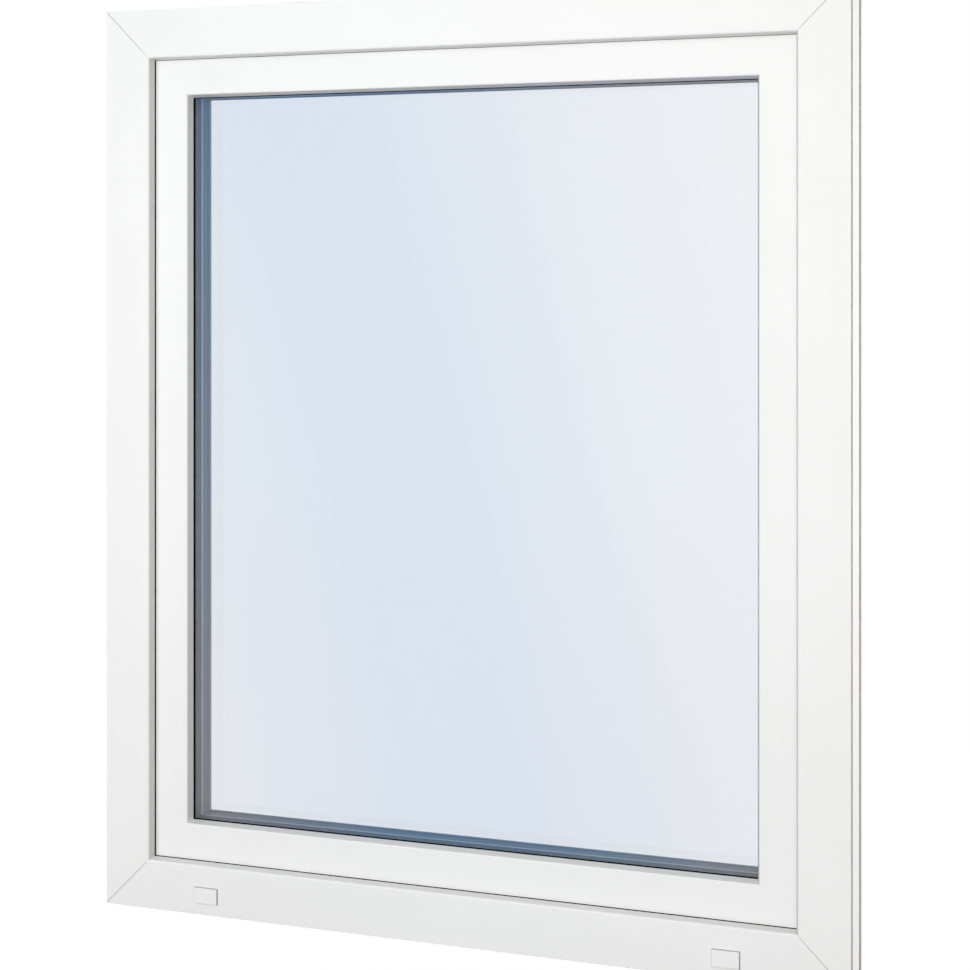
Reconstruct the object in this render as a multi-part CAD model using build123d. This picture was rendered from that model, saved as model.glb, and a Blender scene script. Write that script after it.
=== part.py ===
from build123d import *
import os

# Tilt and turn window, single sash. X runs right as seen from outside, Y into the room, Z up.
# The origin is the middle of the frame's bottom face, half way through the frame's depth.
# A section's corners are (offset in from the frame's outer edge, depth behind the outside face).

# Whole window
width = 1000.0
height = 1200.0
frame_depth = 78.0

# Walls of the extruded profiles
wall = 2.8                    # walls that show
web = 1.6                     # walls between two chambers
edge_round = 0.6

# Frame section
frame_floor = 46.0            # outer edge to the floor of the rebate
frame_flat = 64.3             # outer edge to the end of the flat outside face
lip_edge = 66.4               # outer edge to the tip of the lip
lip_back = 12.9               # depth of the lip's back face
lip_round = 3.6
drain_slope = 5.0             # fall from the lip's back face to the rebate's floor
stop_groove = 8.0             # lip's tip to the groove of the stop gasket
frame_steel = (24.1, 54.4)    # depths of the chamber for the steel core
keep_groove = (48.0, 56.0)    # depths of the shallow groove that the strikers sit in
keep_groove_depth = 2.4
clip_groove_depth = 5.0
front_groove = (1.5, 14.0)    # depths of the clip grooves along the outer side
back_groove = (58.0, 75.5)

# Sash section
sash_face = 16.0              # depth of the sash's outside face
sash_back = sash_face + frame_depth
sash_edge = 58.0              # outer edge to the sash's edge, across the hardware gap
overlap_edge = 38.0           # outer edge to the overlap on the room side
overlap_face = frame_depth + 4.0
sash_flat = 113.4             # outer edge to the start of the bevel to the glass
sight_line = 116.6            # outer edge to the end of the bevel
leg_back = 28.5               # depth of the glazing leg's back face
leg_groove = 7.0              # sight line to the groove of the outer glazing gasket
overlap_groove = 3.5          # overlap's edge to the groove of its gasket
sash_steel = (38.5, 75.0)     # depths of the chamber for the steel core
glazing_floor = 96.0          # outer edge to the floor of the glazing rebate
sash_round = 2.6
hardware_axis = overlap_face - 13.0
hardware_steps = ((8.0, 3.0), (6.0, 9.0))    # half width and depth of the hardware groove's two steps
bead_slot = (3.0, 8.0)        # behind the bead's front face
bead_slot_depth = 5.0
bead_hook = 1.5

# Glazing unit, from outside to inside
pane = 4.0
cavity = 16.0
glass_front = 31.5
glass_back = glass_front + 3 * pane + 2 * cavity
glass_edge = 101.0            # outer edge to the edge of the glass
spacer_edge = 115.8           # outer edge to the visible face of the spacer
spacer_height = 6.8

# Glazing beads
bead_front = 79.0
bead_edge = 115.9
bead_lip = 1.8                # height of the bead's edge against the glass
bead_top = 5.0                # width of the bead's flat top
bead_round = 5.0

# Gaskets
groove_width = 3.0
groove_depth = 2.8
gasket_lean = 1.0             # how far a gasket's soft edge leans out of square
gasket_round = 0.5
gasket_heel = 1.0             # how far a gasket's back laps past its groove
gasket_lip = 0.6              # how far the outer glazing gasket shows past the sash
inner_gasket_width = 9.0

# Cleaned weld seams across the frame's corners
seam_width = 0.8
seam_reach = 61.0             # outer edge to the seam's inner end

# Drainage of the bottom rail
cap_size = (34.3, 3.0, 20.6)
cap_wall = 1.0
cap_mouth = 24.0              # width of the outlet in the cap's bottom edge
cap_centre_height = 25.3
cap_inset = 150.0             # side of the frame to the cap's centre
cap_leg = (2.0, 4.0)          # width of the legs that clip into the slot, and their reach past the wall
drain_slot = (28.0, 6.0)
rebate_slot = (28.0, 4.0)
rebate_slot_inset = 215.0     # side of the frame to the slot in the rebate's floor

# Setting blocks
packer_length = 100.0
packer_inset = 210.0          # outer corner to the block's centre

# Handle, on the stile to the right as seen from outside
handle_height = height / 2
handle_offset = 77.0          # side of the frame to the spindle
rose_size = (30.0, 10.5, 66.0)
rose_corner = 9.0
rose_chamfer = 1.4
collar_radius = 11.0
collar_height = 1.5
neck_radius = 8.5
neck_seat = 3.0               # how far the neck sits inside the rose
lever_width = 21.0
lever_tip_width = 16.0
lever_thickness = 11.0
lever_tip_thickness = 8.0
lever_stand = 50.0            # sash to the middle of the grip
lever_length = 122.0          # spindle to the end of the grip
lever_bow = 4.0               # how far the grip leans back to the sash at its end

# Hinges, on the side to the left as seen from outside
hinge_offset = 27.5           # side of the frame to the hinge axis
hinge_radius = 8.0
hinge_axis_depth = frame_depth + 11.0
barrel_chamfer = 1.2
pin_radius = 4.0
pin_clearance = 0.05
leaf_width = 38.0
leaf_thickness = 3.0
leaf_corner = 5.0
plate_width = 25.0
plate_shift = 5.0             # hinge axis to the plate's middle, towards the side
plate_thickness = 2.5
plate_corner = 4.0
hinge_web = 10.0
knuckle_gap = 1.0
lower_cup = (30.0, 56.0)      # heights of the lower hinge's cup
lower_barrel_length = 55.0
upper_hinge_drop = 36.0       # top of the frame to the top of the upper hinge
upper_knuckle_length = 14.0
upper_barrel_length = 30.0


def section(corners, chambers=()):
    """A closed section: corners are (offset, depth, rounding), chambers are (start, end, front, back)."""
    points = [(offset, depth) for offset, depth, _ in corners]
    outline = FilletPolyline(*points, radius=[corner[2] for corner in corners], close=True)
    face = make_face(outline)
    for start, end, front, back in chambers:
        face -= Pos((start + end) / 2, (front + back) / 2) * Rectangle(end - start, back - front)
    return face


def square_groove(start, front, depth_in, toward):
    """Corners of a gasket groove whose mouth starts at an offset and opens at a depth."""
    end = start + groove_width
    inner = front + toward * depth_in
    return [(start, front, 0), (start, inner, 0), (end, inner, 0), (end, front, 0)]


def bar(profile, length):
    """A profile run along the bottom of a side of this length, mitred at both ends."""
    upright = Plane(origin=(-length / 2, 0, 0), x_dir=(0, 0, 1), z_dir=(1, 0, 0))
    # This plane's second axis is -Y, so the section is mirrored to run into the room.
    run = extrude(upright * mirror(profile, about=Plane.XZ), amount=length)
    reach = 2 * sight_line
    mitre = Polyline(
        (-length / 2, 0),
        (length / 2, 0),
        (length / 2 - reach, reach),
        (reach - length / 2, reach),
        close=True,
    )
    wedge = extrude(Plane.XZ * make_face(mitre), amount=2 * frame_depth, both=True)
    return Pos(0, -frame_depth / 2, 0) * (run & wedge)


def place(side, piece):
    """A bar made along the bottom, moved to its side of the window."""
    places = {
        "bottom": Pos(0, 0, 0),
        "top": Pos(0, 0, height) * Rot(0, 180, 0),
        "left": Pos(-width / 2, 0, height / 2) * Rot(0, 90, 0),
        "right": Pos(width / 2, 0, height / 2) * Rot(0, -90, 0),
    }
    return places[side] * piece


def sides(profile, finish=lambda piece, length: piece):
    """The four mitred bars of one profile, by the side they lie on as seen from outside."""
    across = finish(bar(profile, width), width)
    upright = finish(bar(profile, height), height)
    return {
        "bottom": place("bottom", across),
        "top": place("top", across),
        "left": place("left", upright),
        "right": place("right", upright),
    }


def ring(profile):
    """The four mitred bars of one profile joined into one closed frame."""
    bars = sides(profile)
    return bars["bottom"] + bars["left"] + bars["top"] + bars["right"]


def slab(offset, depth, thickness):
    """A flat sheet whose edges keep one distance from the frame's outer edge."""
    sheet = Box(width - 2 * offset, thickness, height - 2 * offset)
    return Pos(0, depth + thickness / 2 - frame_depth / 2, height / 2) * sheet


def frame_section():
    gasket_start = lip_edge - stop_groove
    keep_front, keep_back = keep_groove
    keep_floor = frame_floor - keep_groove_depth
    corners = [(0, 0, edge_round), (frame_flat, 0, lip_round), (lip_edge, lip_back, edge_round)]
    corners += square_groove(gasket_start, lip_back, groove_depth, -1)[::-1]
    corners += [
        (frame_floor + drain_slope + 1, lip_back, 1.0),
        (frame_floor, lip_back + drain_slope, 1.0),
        (frame_floor, keep_front, 0),
        (keep_floor, keep_front, 0),
        (keep_floor, keep_back, 0),
        (frame_floor, keep_back, 0),
        (frame_floor, frame_depth, 2 * edge_round),
        (0, frame_depth, edge_round),
    ]
    for front, back in (back_groove, front_groove):
        corners += [(0, back, 0), (clip_groove_depth, back, 0), (clip_groove_depth, front, 0), (0, front, 0)]

    start = clip_groove_depth + wall
    end = frame_floor - wall
    steel_end = keep_floor - wall
    steel_front, steel_back = frame_steel
    drain_back = lip_back - wall
    middle = (steel_back + web + frame_depth - wall) / 2
    chambers = [
        (start, frame_floor, wall, drain_back),
        (frame_floor + wall, gasket_start - web, wall, drain_back),
        (start, end, drain_back + web, steel_front - web),
        (start, steel_end, steel_front, steel_back),
        (wall, start - web, front_groove[1] + web, back_groove[0] - web),
        (start, end, steel_back + web, middle - web / 2),
        (start, end, middle + web / 2, frame_depth - wall),
    ]
    return section(corners, chambers)


def frame_finish(piece, length):
    """Cuts the cleaned weld seam across both faces of a mitred frame bar, at both ends."""
    run = 2 * seam_reach * 2**0.5
    seam = Rot(45, 0, 0) * Box(run, seam_width / 2**0.5, seam_width / 2**0.5)
    for depth in (-frame_depth / 2, frame_depth / 2):
        for side in (-1, 1):
            piece -= Pos(side * length / 2, depth, 0) * Rot(0, side * 45, 0) * seam
    return piece


def frame_gasket_section():
    gasket_start = lip_edge - stop_groove
    corners = square_groove(gasket_start, lip_back, groove_depth, -1)
    corners += [
        (lip_edge - edge_round / 2, lip_back, 0),
        (lip_edge, sash_face, 0),
        (gasket_start + gasket_heel, sash_face, gasket_round),
        (gasket_start - gasket_heel, lip_back, 0),
    ]
    return section(corners)


def sash_section():
    gasket_start = overlap_edge + overlap_groove
    leg_gasket_start = sight_line - leg_groove
    slot_front, slot_back = (bead_front + depth for depth in bead_slot)
    corners = [(sash_edge, sash_face, edge_round), (sash_flat, sash_face, sash_round)]
    corners += [(sight_line, leg_back, edge_round)]
    corners += square_groove(leg_gasket_start, leg_back, groove_depth, -1)[::-1]
    corners += [
        (glazing_floor + drain_slope, leg_back, 1.0),
        (glazing_floor, leg_back + drain_slope, 1.0),
        (glazing_floor, slot_front + bead_hook, 0),
        (glazing_floor - bead_hook, slot_front + bead_hook, 0),
        (glazing_floor - bead_hook, slot_front, 0),
        (glazing_floor - bead_slot_depth, slot_front, 0),
        (glazing_floor - bead_slot_depth, slot_back, 0),
        (glazing_floor, slot_back, 0),
        (glazing_floor, sash_back, edge_round),
        (overlap_edge, sash_back, sash_round),
        (overlap_edge, overlap_face, edge_round),
    ]
    corners += square_groove(gasket_start, overlap_face, groove_depth, 1)
    corners += [(sash_edge, overlap_face, edge_round)]
    (mouth, step), (core, floor) = hardware_steps
    corners += [
        (sash_edge, hardware_axis + mouth, 0),
        (sash_edge + step, hardware_axis + mouth, 0),
        (sash_edge + step, hardware_axis + core, 0),
        (sash_edge + floor, hardware_axis + core, 0),
        (sash_edge + floor, hardware_axis - core, 0),
        (sash_edge + step, hardware_axis - core, 0),
        (sash_edge + step, hardware_axis - mouth, 0),
        (sash_edge, hardware_axis - mouth, 0),
    ]

    start = sash_edge + wall
    end = glazing_floor - wall
    groove_back = sash_edge + floor + web
    steel_front, steel_back = sash_steel
    rear_front = steel_back + web
    rear_back = sash_back - wall
    chambers = [
        (start, end, sash_face + wall, leg_back),
        (end + web, leg_gasket_start - web, sash_face + wall, leg_back - wall),
        (start, end, leg_back + web, steel_front - web),
        (groove_back, end, steel_front, steel_back),
        (start, groove_back - web, steel_front, hardware_axis - mouth - web),
        (groove_back, glazing_floor - bead_slot_depth - wall, rear_front, rear_back),
        (gasket_start + groove_width + web, groove_back - web, overlap_face + wall, rear_back),
    ]
    return section(corners, chambers)


def sash_gasket_section():
    gasket_start = overlap_edge + overlap_groove
    corners = square_groove(gasket_start, overlap_face, groove_depth, 1)
    corners += [
        (gasket_start + groove_width + gasket_heel, overlap_face, 0),
        (gasket_start + groove_width, frame_depth, gasket_round),
        (overlap_edge + 2 * gasket_lean, frame_depth, gasket_round),
        (overlap_edge + gasket_lean, overlap_face, 0),
    ]
    return section(corners)


def outer_glazing_gasket_section():
    leg_gasket_start = sight_line - leg_groove
    corners = square_groove(leg_gasket_start, leg_back, groove_depth, -1)
    corners += [
        (sight_line - edge_round, leg_back, 0),
        (sight_line + gasket_lip, glass_front - gasket_lean, gasket_round),
        (sight_line + gasket_lip, glass_front, 0),
        (leg_gasket_start - groove_width, glass_front, 0),
        (leg_gasket_start - groove_width, leg_back, 0),
    ]
    return section(corners)


def inner_glazing_gasket_section():
    start = bead_edge - inner_gasket_width
    return section([
        (start - 2 * gasket_lean, glass_back, 0),
        (bead_edge - gasket_round, glass_back, 0),
        (bead_edge - gasket_round, bead_front, 0),
        (start, bead_front, 0),
    ])


def bead_section():
    """A bead whose hooked foot clips under the edge of the sash's slot."""
    slot_front, slot_back = (bead_front + depth for depth in bead_slot)
    foot = glazing_floor - bead_slot_depth + 0.6
    outer = section([
        (glazing_floor, bead_front, 0),
        (bead_edge, bead_front, 0.3),
        (bead_edge, bead_front + bead_lip, 0.9),
        (glazing_floor + bead_top, sash_back, bead_round),
        (glazing_floor, sash_back, edge_round),
        (glazing_floor, slot_back, 0),
        (foot, slot_back, 0),
        (foot, slot_front, 0),
        (glazing_floor - bead_hook, slot_front, 0),
        (glazing_floor - bead_hook, slot_front + bead_hook, 0),
        (glazing_floor, slot_front + bead_hook, 0),
    ])
    inner = section([
        (glazing_floor + web, bead_front + web, 0),
        (bead_edge - 4 * web, bead_front + web, 0),
        (glazing_floor + bead_top - 0.5, sash_back - wall, 0),
        (glazing_floor + web, sash_back - wall, 0),
    ])
    return outer - inner


def strip_section(start, end, front, back):
    return section([(start, front, 0), (end, front, 0), (end, back, 0), (start, back, 0)])


def drained(rail):
    """The bottom rail with the water's way out: rebate floor, chamber wall, and the wall behind the cap."""
    face = -frame_depth / 2
    floor_slot = Box(rebate_slot[0], rebate_slot[1], 2 * (wall + web))
    floor_depth = face + lip_back + drain_slope + rebate_slot[1] / 2
    wall_slot = Box(drain_slot[0], 2 * web, drain_slot[1])
    wall_depth = face + lip_back - wall + web / 2
    face_slot = Box(drain_slot[0], 2 * wall + web, drain_slot[1])
    for side in (-1, 1):
        inner_x = side * (width / 2 - rebate_slot_inset)
        rail -= Pos(inner_x, floor_depth, frame_floor) * floor_slot
        rail -= Pos(inner_x, wall_depth, cap_centre_height) * wall_slot
        rail -= Pos(side * (width / 2 - cap_inset), face, cap_centre_height) * face_slot
    return rail


def drain_cap(x):
    """A shallow hood over a drain slot, open along its bottom edge, held by two legs in the slot."""
    hood = Box(*cap_size)
    outer_edges = hood.faces().sort_by(Axis.Y)[0].edges()
    hood = chamfer(outer_edges, 0.5)
    hollow = (cap_size[0] - 2 * cap_wall, cap_size[1] - cap_wall, cap_size[2] - 2 * cap_wall)
    hood -= Pos(0, cap_wall / 2, 0) * Box(*hollow)
    hood -= Pos(0, cap_wall / 2, -cap_size[2] / 2) * Box(cap_mouth, hollow[1], 4 * cap_wall)
    leg_width, leg_reach = cap_leg
    leg_length = cap_size[1] - cap_wall / 2 + leg_reach
    leg = Box(leg_width, leg_length, drain_slot[1])
    for side in (-1, 1):
        x_leg = side * (drain_slot[0] - leg_width) / 2
        hood += Pos(x_leg, (leg_length - cap_size[1] + cap_wall) / 2, 0) * leg
    return Pos(x, -frame_depth / 2 - cap_size[1] / 2, cap_centre_height) * hood


def packers():
    """Blocks between the glazing rebate's floor and the unit's edge, two on every side."""
    start = leg_back + drain_slope + 1
    depth = glass_back - start
    thickness = glass_edge - glazing_floor
    middle = start + depth / 2 - frame_depth / 2
    rise = glazing_floor + thickness / 2
    flat = Box(packer_length, depth, thickness)
    upright = Box(thickness, depth, packer_length)
    blocks = []
    for side in (-1, 1):
        x = side * (width / 2 - packer_inset)
        z = height / 2 + side * (height / 2 - packer_inset)
        blocks += [Pos(x, middle, rise) * flat, Pos(x, middle, height - rise) * flat]
        blocks += [Pos(rise - width / 2, middle, z) * upright, Pos(width / 2 - rise, middle, z) * upright]
    return Compound(blocks)


room_face = sash_back - frame_depth / 2
spindle = Pos(width / 2 - handle_offset, room_face, handle_height)


def handle_rose():
    """The oblong plate under the handle, with a raised collar round the neck."""
    rose = fillet(Box(*rose_size).edges().filter_by(Axis.Y), rose_corner)
    front = rose.faces().sort_by(Axis.Y)[-1]
    rose = chamfer(front.edges(), rose_chamfer)
    turn = Rot(90, 0, 0)
    rose = rose + Pos(0, (rose_size[1] + collar_height) / 2, 0) * turn * Cylinder(collar_radius, collar_height)
    bore_length = neck_seat + collar_height
    bore = turn * Cylinder(neck_radius, bore_length)
    rose = rose - Pos(0, rose_size[1] / 2 + collar_height - bore_length / 2, 0) * bore
    return spindle * Pos(0, rose_size[1] / 2, 0) * rose


def handle_lever():
    """Neck and grip in one casting: the grip hangs straight down while the window is shut."""
    inner = lever_stand - lever_thickness / 2
    outer = lever_stand + lever_thickness / 2
    top = lever_width / 2
    tip_outer = outer - lever_bow
    side_view = FilletPolyline(
        (inner, top),
        (inner, -lever_length * 0.4),
        (tip_outer - lever_tip_thickness, -lever_length),
        (tip_outer, -lever_length),
        (outer, -lever_length * 0.4),
        (outer, top),
        radius=[0.0, 90.0, 3.0, 3.0, 90.0, 6.0],
        close=True,
    )
    front_view = FilletPolyline(
        (-lever_width / 2, top),
        (-lever_width / 2, -lever_length * 0.3),
        (-lever_tip_width / 2, -lever_length),
        (lever_tip_width / 2, -lever_length),
        (lever_width / 2, -lever_length * 0.3),
        (lever_width / 2, top),
        radius=[9.0, 40.0, 6.0, 6.0, 40.0, 9.0],
        close=True,
    )
    thick = extrude(Plane.YZ * make_face(side_view), amount=lever_width, both=True)
    flat = extrude(Plane.XZ * make_face(front_view), amount=-2 * lever_stand)
    grip = thick & flat
    neck_start = rose_size[1] - neck_seat
    neck_length = inner - neck_start + 2
    neck = Pos(0, neck_start + neck_length / 2, 0) * Rot(90, 0, 0) * Cylinder(neck_radius, neck_length)
    return spindle * (grip + neck)


def on_hinge_axis(low, high, piece):
    x = hinge_offset - width / 2
    y = hinge_axis_depth - frame_depth / 2
    return Pos(x, y, (low + high) / 2) * piece


def barrel(length):
    tube = Cylinder(hinge_radius, length)
    return chamfer(tube.edges().filter_by(GeomType.CIRCLE), barrel_chamfer)


def hinge_leaf(low, high):
    """The sash's half of a hinge: a plate on the sash's room face that runs on into a barrel."""
    length = high - low
    plate = Box(leaf_width, leaf_thickness, length - 2 * barrel_chamfer)
    far_edges = plate.edges().filter_by(Axis.Y).group_by(Axis.X)[-1]
    plate = fillet(far_edges, leaf_corner)
    face = sash_back - hinge_axis_depth
    leaf = barrel(length) + Pos(leaf_width / 2, face + leaf_thickness / 2, 0) * plate
    return on_hinge_axis(low, high, leaf)


def hinge_knuckle(low, high):
    """The frame's half: a barrel on a web that stands off the frame's room face."""
    length = high - low
    standoff = hinge_axis_depth - frame_depth
    stem = Pos(0, -standoff / 2, 0) * Box(hinge_web, standoff, length - 2 * barrel_chamfer)
    return on_hinge_axis(low, high, barrel(length) + stem)


def hinge_plate(low, high):
    plate = Box(plate_width, plate_thickness, high - low)
    plate = fillet(plate.edges().filter_by(Axis.Y), plate_corner)
    back = -(hinge_axis_depth - frame_depth) + plate_thickness / 2
    return on_hinge_axis(low, high, Pos(-plate_shift, back, 0) * plate)


def hinge_pin(low, high, radius):
    return on_hinge_axis(low, high, Cylinder(radius, high - low))


def lower_hinge():
    """The corner hinge that carries the sash: a cup with an upright pin, and the barrel that turns on it."""
    low, high = lower_cup
    sleeve = (high + knuckle_gap, high + knuckle_gap + lower_barrel_length)
    pin_top = sleeve[0] + lower_barrel_length / 2
    bracket = hinge_knuckle(low, high) + hinge_plate(low - 6, high + 22)
    bracket += hinge_pin(high - 4, pin_top, pin_radius)
    leaf = hinge_leaf(*sleeve) - hinge_pin(sleeve[0] - 1, pin_top + knuckle_gap, pin_radius + pin_clearance)
    return bracket, leaf


def upper_hinge():
    """The stay hinge at the top: a barrel between two knuckles on one pin."""
    top = height - upper_hinge_drop
    upper = (top - upper_knuckle_length, top)
    sleeve = (upper[0] - knuckle_gap - upper_barrel_length, upper[0] - knuckle_gap)
    lower = (sleeve[0] - knuckle_gap - upper_knuckle_length, sleeve[0] - knuckle_gap)
    bracket = hinge_knuckle(*lower) + hinge_knuckle(*upper) + hinge_plate(lower[0] - 4, top + 4)
    bracket += hinge_pin(lower[1] - 4, upper[0] + 4, pin_radius)
    leaf = hinge_leaf(*sleeve) - hinge_pin(sleeve[0] - 1, sleeve[1] + 1, pin_radius + pin_clearance)
    return bracket, leaf


def build():
    nodes = {}
    frame = sides(frame_section(), frame_finish)
    nodes["frame_sill"] = drained(frame["bottom"])
    nodes["frame_head"] = frame["top"]
    nodes["frame_jamb_left"] = frame["left"]
    nodes["frame_jamb_right"] = frame["right"]

    sash = sides(sash_section())
    nodes["sash_bottom_rail"] = sash["bottom"]
    nodes["sash_top_rail"] = sash["top"]
    nodes["sash_stile_left"] = sash["left"]
    nodes["sash_stile_right"] = sash["right"]

    for side, piece in sides(bead_section()).items():
        nodes["bead_" + side] = piece

    depth = glass_front
    for name in ("outer", "middle", "inner"):
        nodes["glass_" + name] = slab(glass_edge, depth, pane)
        depth += pane + cavity
    spacer_back = spacer_edge - spacer_height
    for number, name in enumerate(("outer", "inner")):
        front = glass_front + pane + number * (pane + cavity)
        nodes["spacer_" + name] = ring(strip_section(spacer_back, spacer_edge, front, front + cavity))
        nodes["edge_seal_" + name] = ring(strip_section(glass_edge, spacer_back, front, front + cavity))

    nodes["glazing_packers"] = packers()
    nodes["frame_gasket"] = ring(frame_gasket_section())
    nodes["sash_gasket"] = ring(sash_gasket_section())
    nodes["glazing_gasket_outer"] = ring(outer_glazing_gasket_section())
    nodes["glazing_gasket_inner"] = ring(inner_glazing_gasket_section())

    nodes["drain_cap_left"] = drain_cap(cap_inset - width / 2)
    nodes["drain_cap_right"] = drain_cap(width / 2 - cap_inset)

    nodes["handle_rose"] = handle_rose()
    nodes["handle_lever"] = handle_lever()
    nodes["lower_hinge_bracket"], nodes["lower_hinge_barrel"] = lower_hinge()
    nodes["upper_hinge_bracket"], nodes["upper_hinge_barrel"] = upper_hinge()
    return nodes


os.makedirs("parts", exist_ok=True)
for node, shape in build().items():
    export_step(shape, f"parts/{node}.step")
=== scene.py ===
import bpy
import bmesh
import math
from mathutils import Matrix, Vector


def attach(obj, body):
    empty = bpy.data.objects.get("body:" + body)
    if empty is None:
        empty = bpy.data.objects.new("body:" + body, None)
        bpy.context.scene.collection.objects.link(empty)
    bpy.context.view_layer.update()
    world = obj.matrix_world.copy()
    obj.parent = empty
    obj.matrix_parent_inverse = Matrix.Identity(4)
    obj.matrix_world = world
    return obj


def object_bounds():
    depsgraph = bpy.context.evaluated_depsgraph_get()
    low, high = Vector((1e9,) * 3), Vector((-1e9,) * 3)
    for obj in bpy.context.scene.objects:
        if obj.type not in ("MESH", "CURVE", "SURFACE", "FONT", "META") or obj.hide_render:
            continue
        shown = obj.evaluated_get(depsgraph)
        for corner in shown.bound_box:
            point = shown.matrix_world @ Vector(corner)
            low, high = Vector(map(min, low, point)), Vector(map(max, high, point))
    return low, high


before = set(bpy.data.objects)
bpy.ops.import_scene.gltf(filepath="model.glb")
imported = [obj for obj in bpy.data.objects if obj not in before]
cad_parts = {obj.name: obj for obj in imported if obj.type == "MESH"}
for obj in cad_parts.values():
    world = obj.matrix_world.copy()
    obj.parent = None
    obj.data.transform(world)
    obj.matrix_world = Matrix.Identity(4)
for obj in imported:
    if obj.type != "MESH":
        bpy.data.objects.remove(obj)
cadBox = [list(corner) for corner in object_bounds()]
print("frame loaded:", len(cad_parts), "nodes")

scene = bpy.context.scene
scene.view_settings.view_transform = "Standard"
alongX, alongY, alongZ = 0, 1, 2


# camera: level, shifted down, standing outside and to the right of the window
cameraSet = {
    "place": (0.885, -2.3573, 0.8497),
    "turnLeft": 19.968,         # degrees
    "lens": 73.01,              # mm
    "sensor": 36,
    "shiftUp": -0.2194,
    "nearest": 0.05,            # metres
    "farthest": 60,
}


def addCamera(values=cameraSet):
    data = bpy.data.cameras.new("camera")
    data.sensor_width = values["sensor"]
    data.lens = values["lens"]
    data.shift_y = values["shiftUp"]
    data.clip_start = values["nearest"]
    data.clip_end = values["farthest"]
    camera = bpy.data.objects.new("camera", data)
    camera.location = values["place"]
    camera.rotation_euler = (math.radians(90), 0, math.radians(values["turnLeft"]))
    scene.collection.objects.link(camera)
    scene.camera = camera


addCamera()
print("camera set")


# building blocks of the materials
noiseMiddle = (0.3, 0.7)        # the part of a noise's range that is spread over two values


def newMaterial(name):
    material = bpy.data.materials.new(name)
    material.use_nodes = True
    return material, material.node_tree


def feed(tree, source, socket):
    # links an output, or sets a plain number or color on the socket itself
    if isinstance(source, bpy.types.NodeSocket):
        tree.links.new(source, socket)
    elif isinstance(source, tuple):
        socket.default_value = (*source, 1)
    else:
        socket.default_value = source


def coordinates(tree, kind):
    # outputs X, Y and Z of one kind of texture coordinate
    place = tree.nodes.new("ShaderNodeTexCoord")
    split = tree.nodes.new("ShaderNodeSeparateXYZ")
    tree.links.new(place.outputs[kind], split.inputs["Vector"])
    return split.outputs


def objectNoise(tree, scale, detail, stretch=(1, 1, 1)):
    # noise on Object coordinates, stretched along an axis where the pattern runs
    place = tree.nodes.new("ShaderNodeTexCoord")
    mapping = tree.nodes.new("ShaderNodeMapping")
    mapping.inputs["Scale"].default_value = stretch
    noise = tree.nodes.new("ShaderNodeTexNoise")
    noise.inputs["Scale"].default_value = scale
    noise.inputs["Detail"].default_value = detail
    tree.links.new(place.outputs["Object"], mapping.inputs["Vector"])
    tree.links.new(mapping.outputs["Vector"], noise.inputs["Vector"])
    return noise.outputs["Fac"]


def combine(tree, operation, *sources):
    stage = tree.nodes.new("ShaderNodeMath")
    stage.operation = operation
    for source, socket in zip(sources, stage.inputs):
        feed(tree, source, socket)
    return stage.outputs["Value"]


def product(tree, first, *others):
    for other in others:
        first = combine(tree, "MULTIPLY", first, other)
    return first


def mapRange(tree, source, start, end, low, high):
    stage = tree.nodes.new("ShaderNodeMapRange")
    stage.inputs["From Min"].default_value = start
    stage.inputs["From Max"].default_value = end
    stage.inputs["To Min"].default_value = low
    stage.inputs["To Max"].default_value = high
    tree.links.new(source, stage.inputs["Value"])
    return stage.outputs["Result"]


def fall(tree, source, start, end):
    return mapRange(tree, source, start, end, 1, 0)         # 1 up to the start, 0 from the end on


def spread(tree, noise, low, high):
    return mapRange(tree, noise, *noiseMiddle, low, high)


def colorRamp(tree, source, stops, change="LINEAR"):
    # each stop is a place from 0 to 1 and the color there
    ramp = tree.nodes.new("ShaderNodeValToRGB")
    ramp.color_ramp.interpolation = change
    elements = ramp.color_ramp.elements         # a new ramp has two
    for number, (place, color) in enumerate(stops):
        stop = elements[number] if number < 2 else elements.new(place)
        stop.position = place
        stop.color = (*color, 1)
    tree.links.new(source, ramp.inputs["Fac"])
    return ramp.outputs["Color"]


def tint(tree, noise, first, second):
    start, end = noiseMiddle
    return colorRamp(tree, noise, ((start, first), (end, second)), "EASE")


def mixColors(tree, share, first, second, way="MIX"):
    stage = tree.nodes.new("ShaderNodeMix")
    stage.data_type = "RGBA"
    stage.blend_type = way
    for source, name in ((share, "Factor"), (first, "A"), (second, "B")):
        feed(tree, source, stage.inputs[name])
    return stage.outputs["Result"]


def mixShaders(tree, share, first, second):
    stage = tree.nodes.new("ShaderNodeMixShader")
    for source, socket in zip((share, first, second), stage.inputs):
        tree.links.new(source, socket)
    return stage.outputs["Shader"]


def bump(tree, height, distance, under=None):
    stage = tree.nodes.new("ShaderNodeBump")
    stage.inputs["Distance"].default_value = distance
    tree.links.new(height, stage.inputs["Height"])
    if under:
        tree.links.new(under, stage.inputs["Normal"])
    return stage.outputs["Normal"]


def backgroundRay(tree):
    # 1 for the rays that see the background: from the camera, off a mirror or through glass
    path = tree.nodes.new("ShaderNodeLightPath")
    source = path.outputs["Is Camera Ray"]
    for name in ("Is Glossy Ray", "Is Transmission Ray"):
        source = combine(tree, "MAXIMUM", source, path.outputs[name])
    return source


def outlineInset(tree, spot):
    # how far inside the window's outer edges a spot lies, across and upright
    halfWidth = cadBox[1][alongX]
    halfHeight = cadBox[1][alongZ] / 2
    aside = combine(tree, "ABSOLUTE", spot["X"])
    apart = combine(tree, "ABSOLUTE", combine(tree, "SUBTRACT", spot["Z"], halfHeight))
    across = combine(tree, "SUBTRACT", halfWidth, aside)
    upright = combine(tree, "SUBTRACT", halfHeight, apart)
    return across, upright


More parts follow.
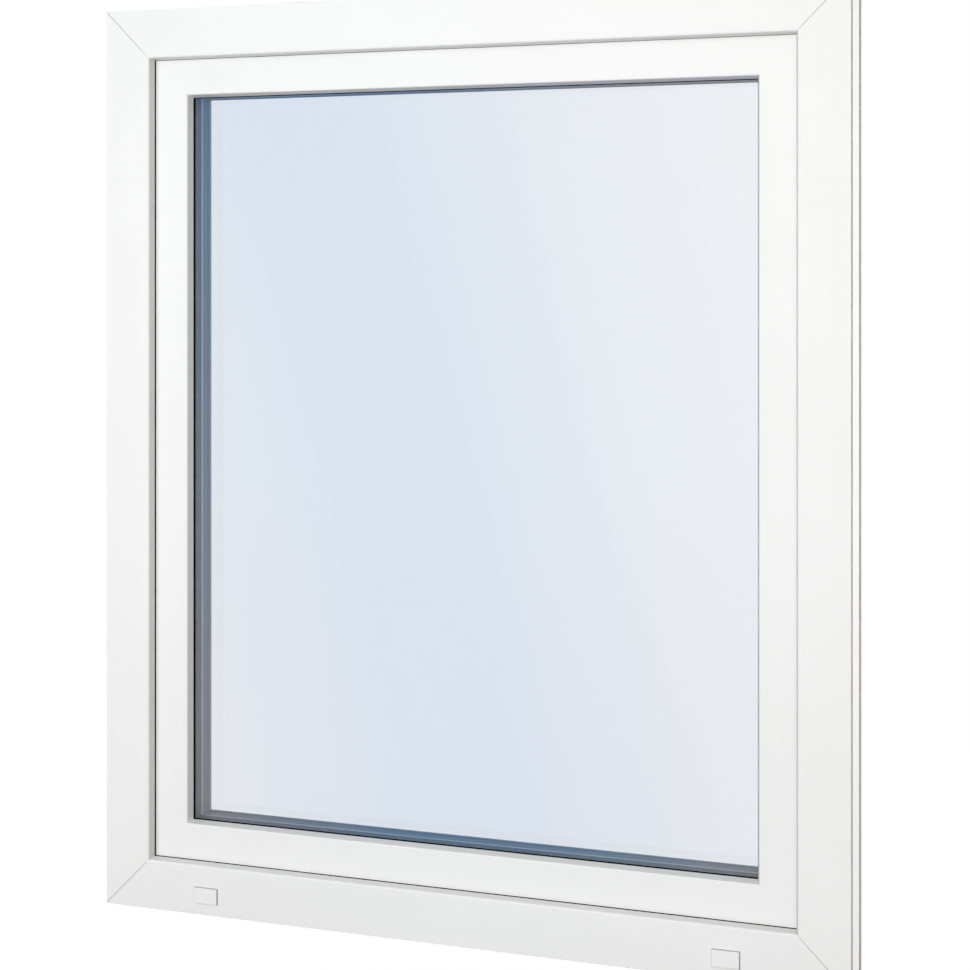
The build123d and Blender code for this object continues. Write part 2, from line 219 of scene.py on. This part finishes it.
# the welded corners: a hairline of shade where the cleaned seam crosses the frame's faces
seamSet = {
    "core": 0.0003,             # metres to each side of the joint
    "edge": 0.0007,
    "fadeStart": 0.052,         # metres in from the outer edge
    "fadeEnd": 0.066,
    "color": (0.36, 0.36, 0.355),
}


def seamMask(tree, values):
    # 1 on the diagonal lines from the frame's outer corners, 0 elsewhere
    across, upright = outlineInset(tree, coordinates(tree, "Object"))
    apart = combine(tree, "ABSOLUTE", combine(tree, "SUBTRACT", across, upright))
    line = fall(tree, apart, values["core"], values["edge"])
    fade = fall(tree, across, values["fadeStart"], values["fadeEnd"])
    return product(tree, line, fade)


# the rounded edges turn away from the light beside the gaskets, and the clip grooves lie in shade
shadeSet = {
    "color": (0, 0, 0),
    "faceOn": 0.93,             # how far a surface faces out or in before the shade starts
    "turned": 0.5,
    "start": 0.056,             # metres in from the outer edge
    "full": 0.06,
    "roomFace": 0.0392,         # Y where the frame ends and the sash stands out into the room
    "share": 0.2,
    "leftFull": -0.4,           # outside edges that turn to the left lie deeper in shade
    "leftStart": -0.12,
    "leftShare": 0.3,
    "grooveLand": 0.0004,       # metres in from the outer edge
    "grooveMouth": 0.0008,
    "grooveDepth": 0.0055,
    "grooveFace": 0.0383,       # metres before and behind the middle of the depth
    "grooveShare": 0.24,
}
capShadeSet = dict(shadeSet, start=-1, full=-0.5, share=0.3)      # the same on the whole of a cap


def shadeMask(tree, values):
    # the share of shade on turned edges inside the frame and on the walls of its outer grooves
    spot = coordinates(tree, "Object")
    facing = coordinates(tree, "Normal")
    offset = combine(tree, "MINIMUM", *outlineInset(tree, spot))
    inside = fall(tree, offset, values["full"], values["start"])

    turned = fall(tree, combine(tree, "ABSOLUTE", facing["Y"]), values["turned"], values["faceOn"])
    standing = combine(tree, "GREATER_THAN", spot["Y"], values["roomFace"])
    edge = product(tree, turned, combine(tree, "MAXIMUM", inside, standing), values["share"])

    leftward = fall(tree, facing["X"], values["leftFull"], values["leftStart"])
    outward = combine(tree, "LESS_THAN", facing["Y"], 0)
    leftEdge = product(tree, leftward, inside, outward, values["leftShare"])

    between = combine(tree, "LESS_THAN", combine(tree, "ABSOLUTE", spot["Y"]), values["grooveFace"])
    mouth = fall(tree, offset, values["grooveMouth"], values["grooveLand"])
    floor = combine(tree, "LESS_THAN", offset, values["grooveDepth"])
    groove = product(tree, mouth, floor, between, values["grooveShare"])
    return combine(tree, "ADD", combine(tree, "ADD", edge, leftEdge), groove)


# extruded white plastic: a faint cloud in the white, fine draw lines along the profile, a soft gloss
plasticSet = {
    "light": (0.905, 0.905, 0.898),
    "dark": (0.89, 0.89, 0.882),
    "cloudScale": 5,
    "cloudDetail": 3,
    "lineScale": 260,
    "lineStretch": 0.006,
    "lineDepth": 0.000012,      # metres
    "peelScale": 700,
    "peelDepth": 0.00001,
    "fineDetail": 2,            # of the lines and the peel
    "roughLow": 0.28,
    "roughHigh": 0.32,
    "ior": 1.53,
}


def plasticMaterial(name, along, seam=None, shade=shadeSet, values=plasticSet):
    material, tree = newMaterial(name)
    shader = tree.nodes["Principled BSDF"]
    shader.inputs["IOR"].default_value = values["ior"]
    cloud = objectNoise(tree, values["cloudScale"], values["cloudDetail"])
    white = tint(tree, cloud, values["dark"], values["light"])
    white = mixColors(tree, shadeMask(tree, shade), white, shade["color"])
    if seam:
        white = mixColors(tree, seamMask(tree, seam), white, seam["color"])
    tree.links.new(white, shader.inputs["Base Color"])
    rough = spread(tree, cloud, values["roughLow"], values["roughHigh"])
    tree.links.new(rough, shader.inputs["Roughness"])

    stretch = [1, 1, 1]
    stretch[along] = values["lineStretch"]
    lines = objectNoise(tree, values["lineScale"], values["fineDetail"], stretch)
    peel = objectNoise(tree, values["peelScale"], values["fineDetail"])
    fine = bump(tree, peel, values["peelDepth"])
    tree.links.new(bump(tree, lines, values["lineDepth"], fine), shader.inputs["Normal"])
    return material


# black rubber: nearly matt, with a fine grain; the other grained finishes say what differs
rubberSet = {
    "light": (0.0035, 0.0036, 0.0038),
    "dark": (0.0012, 0.0013, 0.0014),
    "shine": 0.06,
    "metal": 0,
    "grainScale": 900,
    "grainDetail": 3,
    "grainDepth": 0.00004,      # metres
    "roughLow": 0.6,
    "roughHigh": 0.8,
}
greyRubberSet = dict(
    rubberSet, light=(0.27, 0.34, 0.42), dark=(0.25, 0.315, 0.39), shine=0.3, roughLow=0.55, roughHigh=0.75,
)
sealantSet = dict(
    rubberSet, light=(0.016, 0.016, 0.017), dark=(0.007, 0.007, 0.008), shine=0.3,
    grainScale=160, grainDepth=0.0003, roughLow=0.5, roughHigh=0.75,
)
packerSet = dict(
    rubberSet, light=(0.05, 0.16, 0.36), dark=(0.04, 0.135, 0.32), shine=0.5,
    grainScale=500, grainDepth=0.00006, roughLow=0.42, roughHigh=0.55,
)
# the dark ring at the drain caps' joints: painted shade
jointShadeSet = dict(
    rubberSet, light=(0.15, 0.15, 0.148), dark=(0.12, 0.12, 0.118), shine=0.2, grainDepth=0.00002,
)
powderCoatSet = dict(           # the handle and hinges: a fine pebbled skin
    rubberSet, light=(0.83, 0.83, 0.825), dark=(0.81, 0.81, 0.805), shine=0.5,
    grainScale=1400, grainDetail=1, grainDepth=0.00003, roughLow=0.3, roughHigh=0.42,
)
screwZincSet = dict(
    rubberSet, light=(0.72, 0.72, 0.72), dark=(0.6, 0.6, 0.61), shine=0.5, metal=1,
    grainScale=1500, grainDepth=0.00001, roughLow=0.29, roughHigh=0.4,
)
# the dark cross in a screw head: painted shade in place of the recess
screwRecessShadeSet = dict(
    screwZincSet, light=(0.09, 0.09, 0.09), dark=(0.05, 0.05, 0.05), shine=0.3, metal=0,
    roughLow=0.4, roughHigh=0.6,
)


def grainSkin(tree, values):
    # roughness, bump and shine of a grained surface, and the grain itself for its color
    shader = tree.nodes["Principled BSDF"]
    shader.inputs["Specular IOR Level"].default_value = values["shine"]
    grain = objectNoise(tree, values["grainScale"], values["grainDetail"])
    rough = spread(tree, grain, values["roughLow"], values["roughHigh"])
    tree.links.new(rough, shader.inputs["Roughness"])
    tree.links.new(bump(tree, grain, values["grainDepth"]), shader.inputs["Normal"])
    return shader, grain


def grainMaterial(name, values):
    material, tree = newMaterial(name)
    shader, grain = grainSkin(tree, values)
    shader.inputs["Metallic"].default_value = values["metal"]
    tree.links.new(tint(tree, grain, values["dark"], values["light"]), shader.inputs["Base Color"])
    return material


# spacer bars: satin grey; painted sky reflection along the diagonal where the sky shows in the panes,
# painted light and shade by facing
spacerSet = {
    # sky: a painted reflection of the blue sky, strongest on the diagonal; plain: the bar's own grey
    "sky": (0.088, 0.165, 0.25),
    "plain": (0.22, 0.225, 0.24),
    "lineAt": (0.03, 0.12),     # X and Z of a point on the diagonal, metres
    "lean": -0.228,             # metres across for each metre up
    "near": 0.15,
    "far": 0.43,
    # the next tints are painted light on a bar that faces down, and painted shade on one that faces up
    "under": (1.35, 1.35, 1.3),     # tint of a bar that faces down
    "level": (1, 1, 1),
    "upper": (0.72, 0.69, 0.64),    # and of one that faces up
    "shine": 0.4,
    "grainScale": 420,
    "grainDetail": 3,
    "grainDepth": 0.00008,
    "roughLow": 0.45,
    "roughHigh": 0.6,
}
# the inner bar is the same bar as the outer, painted lighter all over: painted light
innerSpacerSet = dict(spacerSet, sky=(0.14, 0.27, 0.42), plain=(0.335, 0.34, 0.355), upper=(0.83, 0.8, 0.74))
# a painted glint of the middle pane's ground edge: a bright strip, with the spacers' painted sky reflection
paintedEdgeGlintSet = dict(spacerSet, sky=(0.45, 0.6, 0.73), plain=(0.57, 0.62, 0.65), under=(1, 1, 1))


def spacerMaterial(name, values):
    material, tree = newMaterial(name)
    shader, grain = grainSkin(tree, values)
    spot = coordinates(tree, "Object")
    lineX, lineZ = values["lineAt"]
    above = combine(tree, "SUBTRACT", spot["Z"], lineZ)
    line = combine(tree, "MULTIPLY_ADD", above, values["lean"], lineX)
    apart = combine(tree, "ABSOLUTE", combine(tree, "SUBTRACT", spot["X"], line))
    away = fall(tree, apart, values["far"], values["near"])
    color = colorRamp(tree, away, ((0, values["sky"]), (1, values["plain"])))

    # painted light and shade: bars that face down are lightened, bars that face up are darkened
    upward = mapRange(tree, coordinates(tree, "Normal")["Z"], -1, 1, 0, 1)
    side = colorRamp(tree, upward, ((0, values["under"]), (0.5, values["level"]), (1, values["upper"])))
    tree.links.new(mixColors(tree, 1, color, side, "MULTIPLY"), shader.inputs["Base Color"])
    return material


# float glass: light passes straight through a faintly blue pane, and the first face of
# each pane mirrors for both of its faces
glassSet = {
    "clear": (0.9795, 0.986, 0.9915),
    "hazy": (0.978, 0.9845, 0.99),
    "hazeScale": 1.2,
    "hazeDetail": 1,
    "ior": 1.52,
    "faces": 2,
    "roughness": 0.015,
}


def glassMaterial(name, values=glassSet):
    material, tree = newMaterial(name)
    tree.nodes.remove(tree.nodes["Principled BSDF"])
    haze = objectNoise(tree, values["hazeScale"], values["hazeDetail"])
    through = tree.nodes.new("ShaderNodeBsdfTransparent")
    tree.links.new(tint(tree, haze, values["hazy"], values["clear"]), through.inputs["Color"])
    gloss = tree.nodes.new("ShaderNodeBsdfGlossy")
    gloss.inputs["Roughness"].default_value = values["roughness"]
    fresnel = tree.nodes.new("ShaderNodeFresnel")
    fresnel.inputs["IOR"].default_value = values["ior"]
    facing = tree.nodes.new("ShaderNodeNewGeometry")
    front = combine(tree, "SUBTRACT", 1, facing.outputs["Backfacing"])
    mirror = product(tree, fresnel.outputs["Fac"], values["faces"], front)
    share = combine(tree, "MINIMUM", mirror, 1)
    pane = mixShaders(tree, share, through.outputs["BSDF"], gloss.outputs["BSDF"])
    tree.links.new(pane, tree.nodes["Material Output"].inputs["Surface"])
    return material


frameAcross = plasticMaterial("frameAcross", alongX, seamSet)
frameUpright = plasticMaterial("frameUpright", alongZ, seamSet)
plasticAcross = plasticMaterial("plasticAcross", alongX)
plasticUpright = plasticMaterial("plasticUpright", alongZ)
capPlastic = plasticMaterial("capPlastic", alongX, None, capShadeSet)
powderCoat = grainMaterial("powderCoat", powderCoatSet)
blackRubber = grainMaterial("blackRubber", rubberSet)
greyRubber = grainMaterial("greyRubber", greyRubberSet)
edgeSealant = grainMaterial("edgeSealant", sealantSet)
packerPlastic = grainMaterial("packerPlastic", packerSet)
jointShade = grainMaterial("jointShade", jointShadeSet)
screwZinc = grainMaterial("screwZinc", screwZincSet)
screwRecessShade = grainMaterial("screwRecessShade", screwRecessShadeSet)
outerSpacer = spacerMaterial("outerSpacer", spacerSet)
innerSpacer = spacerMaterial("innerSpacer", innerSpacerSet)
paintedEdgeGlint = spacerMaterial("paintedEdgeGlint", paintedEdgeGlintSet)
glassPane = glassMaterial("glassPane")

finishes = (
    (frameAcross, ("frame_head", "frame_sill")),
    (frameUpright, ("frame_jamb_left", "frame_jamb_right")),
    (plasticAcross, ("sash_top_rail", "sash_bottom_rail", "bead_top", "bead_bottom")),
    (plasticUpright, ("sash_stile_left", "sash_stile_right", "bead_left", "bead_right")),
    (capPlastic, ("drain_cap_left", "drain_cap_right")),
    (powderCoat, ("handle_rose", "handle_lever")),
    (powderCoat, ("lower_hinge_bracket", "lower_hinge_barrel", "upper_hinge_bracket", "upper_hinge_barrel")),
    (glassPane, ("glass_outer", "glass_middle", "glass_inner")),
    (outerSpacer, ("spacer_outer",)),
    (innerSpacer, ("spacer_inner",)),
    (edgeSealant, ("edge_seal_outer", "edge_seal_inner")),
    (blackRubber, ("frame_gasket", "sash_gasket", "glazing_gasket_outer")),
    (greyRubber, ("glazing_gasket_inner",)),
    (packerPlastic, ("glazing_packers",)),
)
for material, names in finishes:
    for name in names:
        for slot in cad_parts[name].material_slots:
            slot.material = material
print("materials given to the nodes")


# building blocks of the pieces
def reach(name, axis):
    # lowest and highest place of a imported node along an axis, in metres
    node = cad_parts[name]
    places = [(node.matrix_world @ Vector(corner))[axis] for corner in node.bound_box]
    return min(places), max(places)


def newObject(name, bm, material):
    mesh = bpy.data.meshes.new(name)
    bm.to_mesh(mesh)
    bm.free()
    mesh.materials.append(material)
    thing = bpy.data.objects.new(name, mesh)
    scene.collection.objects.link(thing)
    return thing


def newPiece(name, bm, material):
    piece = newObject(name, bm, material)
    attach(piece, "root")
    return piece


def flatRing(width, height, thickness):
    # a flat ring round a rectangle of that size, lying on the origin
    bm = bmesh.new()
    bmesh.ops.create_grid(bm, x_segments=1, y_segments=1, size=0.5)         # one metre square
    bmesh.ops.scale(bm, vec=(width, height, 1), verts=bm.verts)
    panel = bm.faces[:]
    inset = bmesh.ops.inset_region(bm, faces=panel, thickness=-thickness, use_boundary=True)
    bmesh.ops.delete(bm, geom=panel, context="FACES_ONLY")
    return bm, inset["faces"]


def standUp(bm, place, degrees=90):
    # turns a lying shape upright, so that its top faces out, or the room with -90, and puts it in place
    turn = Matrix.Rotation(math.radians(degrees), 3, "X")
    bmesh.ops.rotate(bm, matrix=turn, verts=bm.verts)
    bmesh.ops.translate(bm, vec=place, verts=bm.verts)


# edges of the glazing unit that show through the outer pane: a bright strip at the middle pane's ground edge
# between the two spacers, a painted glint of that edge, and the grey lip that laps the edge of the inner
# pane
glazingEdgeSet = {
    "spacerHeight": 0.0068,     # metres
    "thickness": 0.0004,
    "proud": 0.0002,
}


def addEdgeRing(name, front, back, material, values=glazingEdgeSet):
    # a thin band round the sight opening, lying on the spacers' visible faces
    left, right = reach("spacer_outer", alongX)
    low, high = reach("spacer_outer", alongZ)
    within = 2 * (values["spacerHeight"] + values["proud"])
    bm, ring = flatRing(right - left - within, high - low - within, values["thickness"])
    grown = bmesh.ops.extrude_face_region(bm, geom=ring)["geom"]
    moved = [item for item in grown if isinstance(item, bmesh.types.BMVert)]
    bmesh.ops.translate(bm, vec=(0, 0, back - front), verts=moved)
    standUp(bm, ((left + right) / 2, back, (low + high) / 2))
    bmesh.ops.recalc_face_normals(bm, faces=bm.faces)
    newPiece(name, bm, material)


# the hairline joint where each drain cap meets the rail: a thin dark ring on the rail, painted shade of the
# joint
jointSet = {
    "width": 0.0006,            # metres
    "proud": 0.00008,
}


def addCapJoint(name, cap, values=jointSet):
    left, right = reach(cap, alongX)
    low, high = reach(cap, alongZ)
    railFace = reach("frame_sill", alongY)[0]
    bm, ring = flatRing(right - left, high - low, values["width"])
    standUp(bm, ((left + right) / 2, railFace - values["proud"], (low + high) / 2))
    newPiece(name, bm, jointShade)


paneFront, paneBack = reach("glass_middle", alongY)
spacerBack = reach("spacer_inner", alongY)[1]
beadFront = reach("bead_left", alongY)[0]
# the first ring is the painted glint of the middle pane's edge
addEdgeRing("middle_pane_edge_glint", paneFront, paneBack, paintedEdgeGlint)
addEdgeRing("inner_pane_lip", spacerBack, beadFront, innerSpacer)
addCapJoint("cap_joint_left", "drain_cap_left")
addCapJoint("cap_joint_right", "drain_cap_right")
print("glazing edges and cap joints added")


# screws of the hinges: low domed heads, with a dark cross as painted shade in place of the recess
screwSet = {
    "radius": 0.003,            # metres
    "height": 0.0011,
    "rim": 0.0004,
    "dome": ((0.72, 0.85), (0.36, 1), (0, 1)),      # shares of the radius and of the height
    "steps": 24,
    "weld": 0.000001,           # the spin's doubles are merged within this
    "crossLength": 0.0032,
    "crossWidth": 0.0007,
    "crossDepth": 0.0003,
    "crossDrop": 0.00012,       # from the head's top to the middle of the cross
    "heads": {                  # Y of the face under the heads, then X and Z of each head
        "lower_hinge_barrel": (0.058, (-0.4485, 0.0705), (-0.4485, 0.0985)),
        "lower_hinge_bracket": (0.0415, (-0.4856, 0.036), (-0.4856, 0.066)),
        "upper_hinge_barrel": (0.058, (-0.4545, 1.134), (-0.4425, 1.134)),
        "upper_hinge_bracket": (0.0415, (-0.4856, 1.112), (-0.4856, 1.156)),
    },
}


def screwHead(place, values):
    # half the head's outline, spun about Z, then turned so that it faces the room
    radius, height = values["radius"], values["height"]
    dome = [(radius * across, height * up) for across, up in values["dome"]]
    bm = bmesh.new()
    corners = [bm.verts.new((across, 0, up)) for across, up in ((radius, 0), (radius, values["rim"]), *dome)]
    edges = [bm.edges.new(pair) for pair in zip(corners, corners[1:])]
    bmesh.ops.spin(
        bm, geom=corners + edges, cent=(0, 0, 0), axis=(0, 0, 1),
        angle=math.radians(360), steps=values["steps"], use_merge=True,
    )
    bmesh.ops.remove_doubles(bm, verts=bm.verts, dist=values["weld"])
    length, width = values["crossLength"], values["crossWidth"]
    for size in ((length, width), (width, length)):
        bar = bmesh.ops.create_cube(bm, size=1)["verts"]
        bmesh.ops.scale(bm, vec=(*size, values["crossDepth"]), verts=bar)
        bmesh.ops.translate(bm, vec=(0, 0, height - values["crossDrop"]), verts=bar)
        # the cross takes the second material, the painted shade of the recess
        for face in {face for vert in bar for face in vert.link_faces}:
            face.material_index = 1
    standUp(bm, place, -90)
    bmesh.ops.recalc_face_normals(bm, faces=bm.faces)
    return bm


def addScrews(name, face, places, values=screwSet):
    whole = bmesh.new()
    for x, z in places:
        head = screwHead((x, face, z), values)
        part = bpy.data.meshes.new("head")
        head.to_mesh(part)
        head.free()
        whole.from_mesh(part)
        bpy.data.meshes.remove(part)
    piece = newPiece(name, whole, screwZinc)
    piece.data.materials.append(screwRecessShade)
    for polygon in piece.data.polygons:
        polygon.use_smooth = polygon.material_index == 0


for name, (face, *places) in screwSet["heads"].items():
    addScrews(name + "_screws", face, places)
print("screws added")


# floor: plain pale diffuse for the light, white with a faint shadow for the camera
floorSet = {
    "size": 24,
    "drop": 0.001,              # under the sill, metres
    "light": (0.31, 0.31, 0.305),
    "dark": (0.28, 0.28, 0.275),
    "grainScale": 3,
    "grainDetail": 2,
    "glowNear": 0.94,           # beside the window, where its shadow falls
    "glowFar": 1.0,
    "near": 0.8,                # metres from the window's middle
    "far": 2.6,
    "shadowShare": 0.08,        # beside the window, and none far off
}


def floorMaterial(values):
    material, tree = newMaterial("paleFloor")
    tree.nodes.remove(tree.nodes["Principled BSDF"])
    grain = objectNoise(tree, values["grainScale"], values["grainDetail"])
    plain = tree.nodes.new("ShaderNodeBsdfDiffuse")
    tree.links.new(tint(tree, grain, values["dark"], values["light"]), plain.inputs["Color"])

    place = tree.nodes.new("ShaderNodeTexCoord")
    away = tree.nodes.new("ShaderNodeVectorMath")
    away.operation = "LENGTH"
    tree.links.new(place.outputs["Object"], away.inputs[0])
    close = fall(tree, away.outputs["Value"], values["near"], values["far"])
    drop = product(tree, close, values["glowFar"] - values["glowNear"])
    glow = tree.nodes.new("ShaderNodeEmission")
    tree.links.new(combine(tree, "SUBTRACT", values["glowFar"], drop), glow.inputs["Strength"])
    faint = tree.nodes.new("ShaderNodeBsdfDiffuse")
    tree.links.new(product(tree, close, values["shadowShare"]), faint.inputs["Color"])
    seen = tree.nodes.new("ShaderNodeAddShader")
    tree.links.new(faint.outputs["BSDF"], seen.inputs[0])
    tree.links.new(glow.outputs["Emission"], seen.inputs[1])

    shown = mixShaders(tree, backgroundRay(tree), plain.outputs["BSDF"], seen.outputs["Shader"])
    tree.links.new(shown, tree.nodes["Material Output"].inputs["Surface"])
    return material


def addFloor(values=floorSet):
    bm = bmesh.new()
    bmesh.ops.create_grid(bm, x_segments=1, y_segments=1, size=values["size"] / 2)
    floor = newObject("floor", bm, floorMaterial(values))
    floor.location = (0, 0, -values["drop"])
    floor.visible_glossy = False            # the glass then mirrors the sky down to the sill


# world: white where it is seen, a band of blue sky in the mirrors, and a plain level for the light
worldSet = {
    "low": 0.2,                 # strength at the horizon and below
    "high": 0.49,               # strength overhead
    "lean": 0.25,               # the band leans with height
    "from": -0.6,               # X of the directions where the band's scale starts and ends
    "to": -0.2,
    "band": (                   # X and the color there
        (-0.53, (0.85, 0.86, 0.93)),
        (-0.47, (0.43, 0.6, 0.87)),
        (-0.43, (0.22, 0.47, 0.91)),
        (-0.385, (0.22, 0.46, 0.92)),
        (-0.335, (0.48, 0.65, 0.92)),
        (-0.28, (0.79, 0.83, 0.92)),
        (-0.2, (1, 1, 1)),
    ),
    "hazeFull": -0.28,          # the sky near the ground is greyer in the mirrors
    "hazeStart": -0.1,
    "haze": (0.92, 0.83, 0.83),
    "white": (1, 1, 1),
}


def addWorld(values=worldSet):
    world = bpy.data.worlds.new("studio")
    scene.world = world
    world.use_nodes = True
    tree = world.node_tree
    way = coordinates(tree, "Generated")
    lamp = tree.nodes["Background"]
    feed(tree, values["white"], lamp.inputs["Color"])
    feed(tree, mapRange(tree, way["Z"], 0, 1, values["low"], values["high"]), lamp.inputs["Strength"])

    start, end = values["from"], values["to"]
    leaning = combine(tree, "MULTIPLY_ADD", way["Z"], values["lean"], way["X"])
    across = mapRange(tree, leaning, start, end, 0, 1)
    stops = [((place - start) / (end - start), color) for place, color in values["band"]]
    band = colorRamp(tree, across, stops, "EASE")
    low = fall(tree, way["Z"], values["hazeFull"], values["hazeStart"])
    hazy = mixColors(tree, low, band, values["haze"], "MULTIPLY")

    path = tree.nodes.new("ShaderNodeLightPath")
    sky = tree.nodes.new("ShaderNodeBackground")
    seen = mixColors(tree, path.outputs["Is Glossy Ray"], values["white"], hazy)
    tree.links.new(seen, sky.inputs["Color"])
    shown = mixShaders(tree, backgroundRay(tree), lamp.outputs["Background"], sky.outputs["Background"])
    tree.links.new(shown, tree.nodes["World Output"].inputs["Surface"])


# lamps: broad ones before each face, two close before the upper half outside, and smaller ones at the sides
lampSet = {
    "outsideLevel": {"place": (0.3, -7, 1.3), "aim": (0, 0, 0.6), "size": 2.0, "power": 102},
    "outsideLeft": {"place": (-2.6, -7, 2.0), "aim": (0, 0, 0.6), "size": 2.0, "power": 133},
    "outsideNearLeft": {"place": (-0.5, -1.6, 0.97), "aim": (-0.35, 0, 0.9), "size": 0.8, "power": 5.7},
    "outsideNearRight": {"place": (0.55, -1.6, 0.97), "aim": (0.4, 0, 0.9), "size": 0.8, "power": 6.0},
    "roomLevel": {"place": (-0.3, 7, 1.3), "aim": (0, 0, 0.6), "size": 2.0, "power": 78},
    "roomLeft": {"place": (2.6, 7, 2.0), "aim": (0, 0, 0.6), "size": 2.0, "power": 122},
    "rightSide": {"place": (2.3, 0.4, 0.8), "aim": (0.5, 0.1, 0.6), "size": 0.6, "power": 20},
    "leftSide": {"place": (-2.3, 0.4, 0.8), "aim": (-0.5, 0.1, 0.6), "size": 0.6, "power": 20},
    "rightBack": {"place": (1.6, 1.9, 0.9), "aim": (0.5, 0, 0.6), "size": 0.8, "power": 10},
}


def addLamp(name, values):
    data = bpy.data.lights.new(name, "AREA")
    data.shape = "SQUARE"
    data.size = values["size"]
    data.energy = values["power"]
    data.cycles.use_multiple_importance_sampling = False
    lamp = bpy.data.objects.new(name, data)
    lamp.location = values["place"]
    way = Vector(values["aim"]) - Vector(values["place"])
    lamp.rotation_euler = way.to_track_quat("-Z", "Y").to_euler()
    lamp.visible_camera = False
    lamp.visible_glossy = False             # the mirrors show the sky, not the lamps
    scene.collection.objects.link(lamp)


addFloor()
addWorld()
for name, values in lampSet.items():
    addLamp(name, values)
print("stage set")
